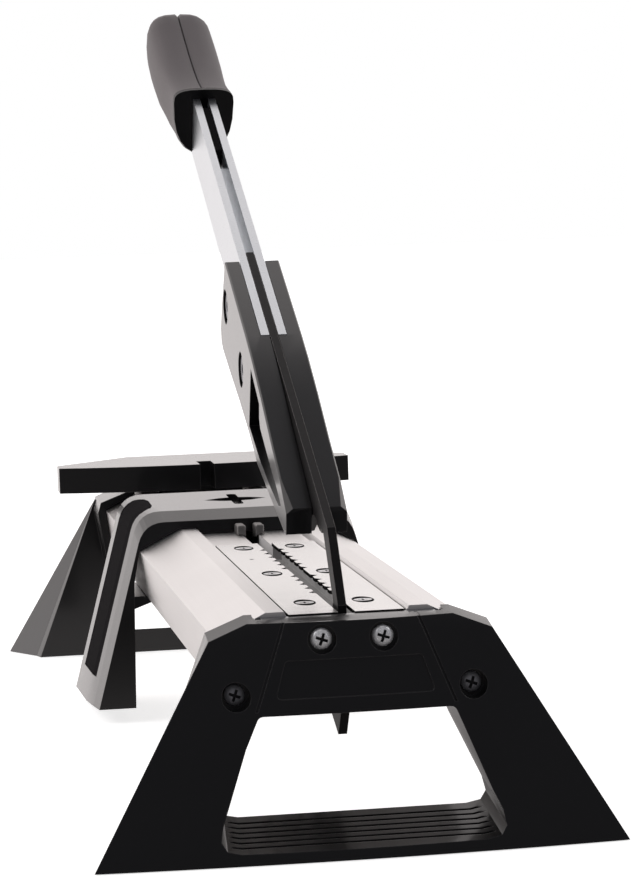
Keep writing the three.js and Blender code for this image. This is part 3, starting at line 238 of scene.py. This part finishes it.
def cutter_finish(name, colour, metal, rough, grain=(900, 900, 900), depth=2e-5, swing=0.06,
                  shade=0.12, edge=0.0004, edge_wear_and_highlight=None, coat=0.0, spec=0.5, shade_painter=None):
    """A procedural finish: mottled colour, uneven gloss, fine relief, softened edges, lighter
    painted edges for wear and painted highlight, and painted shade where shade_painter lays it.
    """
    coat_rough, coat_ior = 0.12, 1.3
    fine_detail, mottle_scale, mottle_detail = 3.0, 24.0, 4.0
    edge_samples, edge_starts, edge_full = 4, 0.995, 0.9
    look = bpy.data.materials.new(name)
    look.use_nodes = True
    tree = look.node_tree
    tree.nodes.clear()
    body = tree.nodes.new("ShaderNodeBsdfPrincipled")
    body.inputs["Metallic"].default_value = metal
    body.inputs["Coat Weight"].default_value = coat
    body.inputs["Coat Roughness"].default_value = coat_rough
    body.inputs["Coat IOR"].default_value = coat_ior
    body.inputs["Specular IOR Level"].default_value = spec
    place = tree.nodes.new("ShaderNodeTexCoord")
    lay = tree.nodes.new("ShaderNodeMapping")
    lay.inputs["Scale"].default_value = grain
    tree.links.new(place.outputs["Object"], lay.inputs["Vector"])
    fine = tree.nodes.new("ShaderNodeTexNoise")
    fine.inputs["Scale"].default_value = 1.0
    fine.inputs["Detail"].default_value = fine_detail
    tree.links.new(lay.outputs[0], fine.inputs["Vector"])
    mottle = tree.nodes.new("ShaderNodeTexNoise")
    mottle.inputs["Scale"].default_value = mottle_scale
    mottle.inputs["Detail"].default_value = mottle_detail
    tree.links.new(place.outputs["Object"], mottle.inputs["Vector"])
    tones = tree.nodes.new("ShaderNodeMix")
    tones.data_type = "RGBA"
    tones.inputs["A"].default_value = [c * (1 - shade) for c in colour] + [1]
    tones.inputs["B"].default_value = [c * (1 + shade) for c in colour] + [1]
    tree.links.new(mottle.outputs["Fac"], tones.inputs["Factor"])
    gloss = tree.nodes.new("ShaderNodeMapRange")
    gloss.inputs["To Min"].default_value = rough - swing
    gloss.inputs["To Max"].default_value = rough + swing
    tree.links.new(fine.outputs["Fac"], gloss.inputs["Value"])
    tree.links.new(gloss.outputs["Result"], body.inputs["Roughness"])
    rounding = tree.nodes.new("ShaderNodeBevel")
    rounding.samples = edge_samples
    rounding.inputs["Radius"].default_value = edge
    relief = tree.nodes.new("ShaderNodeBump")
    relief.inputs["Strength"].default_value = 1.0
    relief.inputs["Distance"].default_value = depth
    tree.links.new(fine.outputs["Fac"], relief.inputs["Height"])
    tree.links.new(rounding.outputs[0], relief.inputs["Normal"])
    tree.links.new(relief.outputs[0], body.inputs["Normal"])
    shown = tones.outputs["Result"]
    # Lighter painted edges: bare steel where the blade's oxide is worn, and a painted highlight
    # on the black mouldings.
    if edge_wear_and_highlight:
        surface = tree.nodes.new("ShaderNodeNewGeometry")
        agree = tree.nodes.new("ShaderNodeVectorMath")
        agree.operation = "DOT_PRODUCT"
        tree.links.new(rounding.outputs[0], agree.inputs[0])
        tree.links.new(surface.outputs["Normal"], agree.inputs[1])
        at_edge = tree.nodes.new("ShaderNodeMapRange")
        at_edge.inputs["From Min"].default_value = edge_starts
        at_edge.inputs["From Max"].default_value = edge_full
        tree.links.new(agree.outputs["Value"], at_edge.inputs["Value"])
        edge_wear_and_highlight_mix = tree.nodes.new("ShaderNodeMix")
        edge_wear_and_highlight_mix.data_type = "RGBA"
        edge_wear_and_highlight_mix.inputs["B"].default_value = list(edge_wear_and_highlight) + [1]
        tree.links.new(at_edge.outputs["Result"], edge_wear_and_highlight_mix.inputs["Factor"])
        tree.links.new(shown, edge_wear_and_highlight_mix.inputs["A"])
        shown = edge_wear_and_highlight_mix.outputs["Result"]
    # Painted shade: a dark tone laid where the mask marks shade, with the metal taken out there.
    if shade_painter:
        painted_shade_tone, mask = shade_painter(tree, place.outputs["Object"])
        painted_shade_mix = tree.nodes.new("ShaderNodeMix")
        painted_shade_mix.data_type = "RGBA"
        tree.links.new(mask, painted_shade_mix.inputs["Factor"])
        tree.links.new(shown, painted_shade_mix.inputs["A"])
        tree.links.new(painted_shade_tone, painted_shade_mix.inputs["B"])
        shown = painted_shade_mix.outputs["Result"]
        bare = tree.nodes.new("ShaderNodeMath")
        bare.operation = "SUBTRACT"
        bare.inputs[0].default_value = 1.0
        tree.links.new(mask, bare.inputs[1])
        tree.links.new(bare.outputs[0], body.inputs["Metallic"])
    tree.links.new(shown, body.inputs["Base Color"])
    tree.links.new(body.outputs[0], tree.nodes.new("ShaderNodeOutputMaterial").inputs[0])
    return look


def dress(look, *names):
    """Gives CAD pieces their finish."""
    for name in names:
        mesh = nodes[name].data
        mesh.materials.clear()
        mesh.materials.append(look)


def tone_across(tree, source, start, end, near, far):
    """A colour that runs from near to far between two values."""
    blend = tree.nodes.new("ShaderNodeMix")
    blend.data_type = "RGBA"
    blend.inputs["A"].default_value = list(near) + [1]
    blend.inputs["B"].default_value = list(far) + [1]
    tree.links.new(ramp(tree, source, start, end), blend.inputs["Factor"])
    return blend.outputs["Result"]


def groove_painted_shade(tree, place):
    """The groove under the plates: its pale walls and the painted shade along its middle, and
    where it lies.
    """
    axes = tree.nodes.new("ShaderNodeSeparateXYZ")
    tree.links.new(place, axes.inputs[0])
    off_middle = tree.nodes.new("ShaderNodeMath")
    off_middle.operation = "ABSOLUTE"
    tree.links.new(axes.outputs["X"], off_middle.inputs[0])
    inside = tree.nodes.new("ShaderNodeMath")
    inside.operation = "MULTIPLY"
    tree.links.new(ramp(tree, off_middle.outputs[0], groove_fade, groove_half), inside.inputs[0])
    tree.links.new(ramp(tree, axes.outputs["Z"], groove_top_fade, groove_top), inside.inputs[1])
    tone = tone_across(tree, off_middle.outputs[0], middle_half, middle_fade, middle_painted_shade,
                       wall_pale)
    return tone, inside.outputs[0]


mill_aluminium = cutter_finish(
    "mill_aluminium", colour=(0.83, 0.81, 0.80), metal=1, rough=0.34, grain=(1400, 9, 1400),
    depth=1.2e-5, swing=0.08, shade=0.03, spec=0.0, shade_painter=groove_painted_shade)
dress(mill_aluminium, "base_profile")

# ---- Feet: two moulded frames of black satin plastic, screwed to the profile's ends.
# Each has a see-through window with a ribbed sill, and a shallow plaque in its middle panel.
mould_radius = 0.0006
# Its edges are painted a lighter grey, a painted highlight along them.
black_moulding = cutter_finish(
    "black_moulding", colour=(0.0028, 0.0025, 0.0031), metal=0, rough=0.34,
    grain=(1300, 1300, 1300), depth=1e-5, swing=0.05, shade=0.2, edge=0.0005,
    edge_wear_and_highlight=(0.045, 0.042, 0.043), coat=0.9, spec=0.25)


def radiused(node, name, body, look, radius, turn=32, smooth=None, shape=None):
    """A copy of a CAD moulding with the small radius of a real mould on its sharp edges."""
    merge_reach, flat_turn = 2e-6, 0.4
    radius_steps, area_weight = 2, 100
    piece = nodes[node].copy()
    piece.data = nodes[node].data.copy()
    del piece["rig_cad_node"]
    piece.name = name
    bpy.context.scene.collection.objects.link(piece)
    bpy.ops.object.select_all(action="DESELECT")
    piece.select_set(True)
    bpy.context.view_layer.objects.active = piece
    bpy.ops.object.mode_set(mode="EDIT")
    bpy.ops.mesh.select_all(action="SELECT")
    bpy.ops.mesh.remove_doubles(threshold=merge_reach)
    bpy.ops.mesh.dissolve_limited(angle_limit=math.radians(flat_turn))
    bpy.ops.object.mode_set(mode="OBJECT")
    if shape:
        shape(piece.data)
    rounding = piece.modifiers.new("mould_radius", "BEVEL")
    rounding.width = radius
    rounding.segments = radius_steps
    rounding.limit_method = "ANGLE"
    rounding.angle_limit = math.radians(turn)
    rounding.miter_outer = "MITER_ARC"
    bpy.ops.object.modifier_apply(modifier=rounding.name)
    bpy.ops.object.shade_smooth_by_angle(angle=math.radians(smooth or turn))
    even = piece.modifiers.new("flat_faces_lead", "WEIGHTED_NORMAL")
    even.mode = "FACE_AREA"
    even.weight = area_weight
    even.keep_sharp = True
    bpy.ops.object.modifier_apply(modifier=even.name)
    piece.data.materials.clear()
    piece.data.materials.append(look)
    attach(piece, body)
    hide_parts(node)
    return piece


for end in ("front", "rear"):
    radiused(f"{end}_foot", f"{end}_foot_moulding", "base", black_moulding,
             mould_radius)

# ---- Bed plates: two ground steel strips on the bed, notched along the blade's slot, each held
# by three sunk screws. Painted shade darkens the notches' sides and the other walls below their
# top face, and long painted shadows lie on their top round the screw heads.
plate_face, plate_face_fade = 0.10070, 0.10073
shadow_low, shadow_high = 0.0990, 0.1004
shadow_deep, shadow_shallow = (0.006, 0.006, 0.006), (0.02, 0.019, 0.019)
screw_shadow_reach, screw_shadow_fade = 0.0046, 0.0050
screw_shadow_length_share = 0.48


def shade_below_plate_face(tree, place):
    """Painted shade on the walls below the plates' top face: the gaps round the screws and the
    notches' sides.
    """
    axes = tree.nodes.new("ShaderNodeSeparateXYZ")
    tree.links.new(place, axes.inputs[0])
    tone = tone_across(tree, axes.outputs["Z"], shadow_low, shadow_high, shadow_deep,
                       shadow_shallow)
    return tone, ramp(tree, axes.outputs["Z"], plate_face_fade, plate_face)


def below_face_and_painted_screw_shadows(tree, place):
    """The same painted shade, and long painted shadows on the plates' top round the plate
    screws.
    """
    tone, painted_shade_mix = shade_below_plate_face(tree, place)
    axes = tree.nodes.new("ShaderNodeSeparateXYZ")
    tree.links.new(place, axes.inputs[0])
    mirrored_x = tree.nodes.new("ShaderNodeMath")
    mirrored_x.operation = "ABSOLUTE"
    tree.links.new(axes.outputs["X"], mirrored_x.inputs[0])
    along = tree.nodes.new("ShaderNodeMath")
    along.operation = "MULTIPLY"
    tree.links.new(axes.outputs["Y"], along.inputs[0])
    along.inputs[1].default_value = screw_shadow_length_share
    flat = tree.nodes.new("ShaderNodeCombineXYZ")
    tree.links.new(mirrored_x.outputs[0], flat.inputs["X"])
    tree.links.new(along.outputs[0], flat.inputs["Y"])
    for i in (1, 2, 3):
        low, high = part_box(f"right_plate_screw_{i}")
        away = tree.nodes.new("ShaderNodeVectorMath")
        away.operation = "DISTANCE"
        tree.links.new(flat.outputs[0], away.inputs[0])
        away.inputs[1].default_value = ((low[0] + high[0]) / 2,
                                        (low[1] + high[1]) / 2 * screw_shadow_length_share, 0)
        either = tree.nodes.new("ShaderNodeMath")
        either.operation = "MAXIMUM"
        tree.links.new(painted_shade_mix, either.inputs[0])
        tree.links.new(ramp(tree, away.outputs["Value"], screw_shadow_fade, screw_shadow_reach),
                       either.inputs[1])
        painted_shade_mix = either.outputs[0]
    return tone, painted_shade_mix


ground_steel = cutter_finish(
    "ground_steel", colour=(0.80, 0.79, 0.78), metal=1, rough=0.24, grain=(60, 1500, 1500),
    depth=0.8e-5, swing=0.07, shade=0.05, edge=0.0001, spec=0.0, shade_painter=below_face_and_painted_screw_shadows)
dress(ground_steel, "left_bed_plate", "right_bed_plate")
# The screws' parts below the plates' top face take the same painted shade.
sunk_zinc = cutter_finish(
    "sunk_zinc", colour=(0.66, 0.66, 0.67), metal=1, rough=0.3, grain=(500, 500, 500),
    swing=0.08, shade=0.1, edge=0.0001, spec=0.0, shade_painter=shade_below_plate_face)
dress(sunk_zinc, *[f"{side}_plate_screw_{i}" for side in ("left", "right") for i in (1, 2, 3)])

# ---- Foot screws: pan heads with a cross recess that hold each foot to the profile's ports.
# The two beside the plaque are bright zinc, and the two deep in their holes are blackened.
head_radius, head_height = 0.00475, 0.0031
head_segments, head_rings = 40, 24
recess_reach, recess_half, recess_depth = 0.0027, 0.00062, 0.0017
recess_turn = 20
shank_radius, shank_sides = 0.0024, 24
screw_smooth = 35

bright_zinc = cutter_finish(
    "bright_zinc", colour=(0.86, 0.86, 0.87), metal=0.45, rough=0.26, grain=(500, 500, 500),
    swing=0.08, shade=0.1)
dark_steel = cutter_finish(
    "dark_steel", colour=(0.27, 0.27, 0.29), metal=0.4, rough=0.34, grain=(500, 500, 500),
    swing=0.08, shade=0.1)
# The recess walls take this near-black colour as painted shade.
recess_shade = cutter_finish(
    "recess_shade", colour=(0.02, 0.02, 0.021), metal=0.3, rough=0.5, grain=(500, 500, 500),
    swing=0.08, shade=0.1, spec=0.2)


def foot_screw(node, look, outward):
    """A pan-head screw with a cross recess, its crown towards outward (-1 front, +1 rear)."""
    low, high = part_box(node)
    middle_x, middle_z = (low[0] + high[0]) / 2, (low[2] + high[2]) / 2
    crown, tip = (low[1], high[1]) if outward < 0 else (high[1], low[1])
    seat = crown - outward * head_height
    bpy.ops.object.select_all(action="DESELECT")
    bpy.ops.mesh.primitive_uv_sphere_add(segments=head_segments, ring_count=head_rings, radius=1,
                                         location=(middle_x, seat, middle_z))
    head = bpy.context.object
    head.name = node + "_head"
    head.scale = (head_radius, head_height, head_radius)
    head.data.materials.append(look)
    bpy.ops.object.transform_apply(location=True, rotation=True, scale=True)
    bpy.ops.object.mode_set(mode="EDIT")
    bpy.ops.mesh.select_all(action="SELECT")
    bpy.ops.mesh.bisect(plane_co=(middle_x, seat, middle_z), plane_no=(0, -outward, 0),
                        use_fill=True, clear_outer=True)
    bpy.ops.object.mode_set(mode="OBJECT")
    for quarter in (0, 90):
        bpy.ops.object.select_all(action="DESELECT")
        bpy.ops.mesh.primitive_cube_add(size=2, location=(middle_x, crown, middle_z))
        cutter = bpy.context.object
        cutter.scale = (recess_reach, recess_depth, recess_half)
        cutter.rotation_euler = (0, math.radians(quarter + recess_turn), 0)
        cutter.data.materials.append(recess_shade)
        bpy.ops.object.transform_apply(location=True, rotation=True, scale=True)
        bpy.ops.object.select_all(action="DESELECT")
        head.select_set(True)
        bpy.context.view_layer.objects.active = head
        sink = head.modifiers.new("recess", "BOOLEAN")
        sink.operation = "DIFFERENCE"
        sink.object = cutter
        sink.material_mode = "TRANSFER"
        bpy.ops.object.modifier_apply(modifier=sink.name)
        bpy.data.objects.remove(cutter)
    bpy.ops.object.select_all(action="DESELECT")
    bpy.ops.mesh.primitive_cylinder_add(vertices=shank_sides, radius=shank_radius,
                                        depth=abs(tip - seat),
                                        location=(middle_x, (tip + seat) / 2, middle_z),
                                        rotation=(math.radians(90), 0, 0))
    bpy.context.object.select_set(True)
    head.select_set(True)
    bpy.context.view_layer.objects.active = head
    bpy.ops.object.join()
    bpy.ops.object.transform_apply(location=True, rotation=True, scale=True)
    bpy.ops.object.shade_smooth_by_angle(angle=math.radians(screw_smooth))
    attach(head, "base")
    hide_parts(node)


for end, outward in (("front", -1), ("rear", 1)):
    for side in ("left", "right"):
        foot_screw(f"{end}_pan_screw_{side}", bright_zinc, outward)
        foot_screw(f"{end}_deep_screw_{side}", dark_steel, outward)

# ---- Blade guide: a small zinc casting that sits in the bed's slot.
# Its two posts take the blade's rear end between them when the lever comes down.
casting_radius = 0.001
cast_zinc = cutter_finish(
    "cast_zinc", colour=(0.20, 0.19, 0.185), metal=0.7, rough=0.42, grain=(700, 700, 700),
    depth=4e-5, swing=0.1, shade=0.15)
radiused("blade_guide", "guide_casting", "base", cast_zinc, casting_radius)

# ---- Cross fence: a black moulded plate over the rear foot, against which the plank lies.
# Its front edge is notched in line with the blade, and two zinc screws hold it from below.
radiused("cross_fence", "fence_moulding", "base", black_moulding, mould_radius)
dress(bright_zinc, "fence_screw_left", "fence_screw_right")

# ---- Pivot: a hexagon bolt through the trough's walls, which the blade's boss turns on.
# It has a lock nut and two thrust washers, all zinc plated.
dress(bright_zinc, "pivot_bolt", "pivot_nut", "pivot_washer_left", "pivot_washer_right")

# ---- Bridge: a black moulded saddle that slides along the profile, with a four-pointed mark
# sunk in its top. A softer inlay lies in a recess on each leg.
bridge_radius, bridge_smooth = 0.0005, 11
soft_inlay = cutter_finish(
    "soft_inlay", colour=(0.010, 0.009, 0.010), metal=0, rough=0.9, grain=(1800, 1800, 1800),
    depth=3e-5, shade=0.15, spec=0.03)
radiused("bridge", "bridge_moulding", "slider", black_moulding, bridge_radius,
         smooth=bridge_smooth)
dress(soft_inlay, "bridge_inlay_left", "bridge_inlay_right")

# ---- Blade: a hardened steel plate with a black oxide skin, cranked at its neck.
# It is ground along its edge. Its corners are painted lighter: bare steel where the oxide is
# worn, and a painted highlight along them.
black_oxide = cutter_finish(
    "black_oxide", colour=(0.010, 0.009, 0.0095), metal=0.1, rough=0.46, grain=(90, 900, 900),
    depth=1e-5, swing=0.08, shade=0.15, edge=0.0003, edge_wear_and_highlight=(0.30, 0.28, 0.27), spec=0.12)
dress(black_oxide, "blade")

# ---- Lever: two flat bars of bright steel, clamped to both sides of the blade's tang.
# A soft dark strip fills the space between them in front of the grip.
bright_bar = cutter_finish(
    "bright_bar", colour=(0.78, 0.81, 0.84), metal=1, rough=0.3, grain=(300, 1500, 1500),
    depth=1e-5, swing=0.08, shade=0.04, edge=0.0005)
dress(bright_bar, "lever_bar_left", "lever_bar_right")
dress(soft_inlay, "grip_spacer")

# ---- Housing: two black moulded halves over the blade's back and the bars' front ends.
# Two bolts with sunk heads and nuts clamp the halves, the bars and the blade together.
lever_lean = math.radians(25)
pivot_y, pivot_z = 0.058, 0.082
housing_half_width = 0.014
crown_half_width = 0.0111
chamfer_kept_share = 0.24
chamfer_start = 0.08
same_station = 2e-4
housing_radius, housing_smooth = 0.0003, 20


def in_lever(point):
    """A point's distance from the pivot along the lever, and its height above that line."""
    cosine, sine = math.cos(lever_lean), math.sin(lever_lean)
    y, z = point.y - pivot_y, point.z - pivot_z
    return y * cosine + z * sine, z * cosine - y * sine


def narrow_chamfer(mesh):
    """Brings the chamfer between a housing's side and crown down to a fine edge."""
    least_lean, most_lean, least_rise = 0.6, 0.85, 0.3
    found = set()
    for face in mesh.polygons:
        if least_lean < abs(face.normal.x) < most_lean and face.normal.z > least_rise:
            found.update(face.vertices)
    crown = sorted(in_lever(mesh.vertices[i].co) for i in found
                   if abs(mesh.vertices[i].co.x) < crown_half_width)
    for index in found:
        point = mesh.vertices[index].co
        along, above = in_lever(point)
        if along < chamfer_start:
            continue
        before = max((c for c in crown if c[0] <= along + same_station), default=crown[0])
        rise = (before[1] - above) * (1 - chamfer_kept_share)
        point.y -= math.sin(lever_lean) * rise
        point.z += math.cos(lever_lean) * rise
        outwards = (housing_half_width - abs(point.x)) * (1 - chamfer_kept_share)
        point.x += math.copysign(outwards, point.x)


for side in ("left", "right"):
    radiused(f"housing_{side}", f"housing_{side}_moulding", "lever",
             black_moulding, housing_radius, smooth=housing_smooth, shape=narrow_chamfer)
dress(dark_steel, "lever_bolt_1", "lever_bolt_2", "lever_nut_1", "lever_nut_2")

# ---- Grip: two grey mouldings with a soft touch, closed over the bars' ends along a seam.
# A black cap closes its front, and the mouldings' forward-facing faces near the front are given
# the cap's black.
grip_radius, grip_turn, grip_smooth = 0.0001, 60, 40
grip_skin = cutter_finish(
    "grip_skin", colour=(0.085, 0.071, 0.075), metal=0, rough=0.5, grain=(1500, 1500, 1500),
    depth=3e-5, shade=0.1, edge=0.0001)
mouth_black = cutter_finish(
    "mouth_black", colour=(0.0028, 0.0025, 0.0031), metal=0, rough=0.4,
    grain=(1300, 1300, 1300), depth=1e-5, swing=0.05, shade=0.2, edge=0.0001, spec=0.2)
# How far along the lever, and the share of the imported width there: a waist, then a full end.
grip_width_shares = ((0.504, 1.0), (0.514, 0.985), (0.530, 0.955), (0.549, 0.97), (0.571, 0.995),
                     (0.599, 1.0), (0.618, 1.025), (0.627, 1.08), (0.634, 1.18), (0.6375, 1.36))
station_reach = 0.002
seam_half = 0.0025
mouth_reach, mouth_facing = 0.512, 0.35


def waist_and_end(mesh):
    """Draws the grip in behind its front and squares its end."""
    for vertex in mesh.vertices:
        along, _ = in_lever(vertex.co)
        station, share = min(grip_width_shares, key=lambda pair: abs(pair[0] - along))
        if abs(station - along) < station_reach and abs(vertex.co.x) > seam_half:
            vertex.co.x *= share


def blacken_mouth(piece):
    """Gives a grip half's forward-facing faces near its front the cap's black finish."""
    piece.data.materials.append(mouth_black)
    backwards = Vector((0, math.cos(lever_lean), math.sin(lever_lean)))
    for face in piece.data.polygons:
        if in_lever(face.center)[0] < mouth_reach and -face.normal.dot(backwards) > mouth_facing:
            face.material_index = 1


for side in ("left", "right"):
    blacken_mouth(radiused(f"grip_{side}", f"grip_{side}_moulding", "lever",
                           grip_skin, grip_radius, grip_turn, smooth=grip_smooth,
                           shape=waist_and_end))
dress(mouth_black, "grip_end_cap")
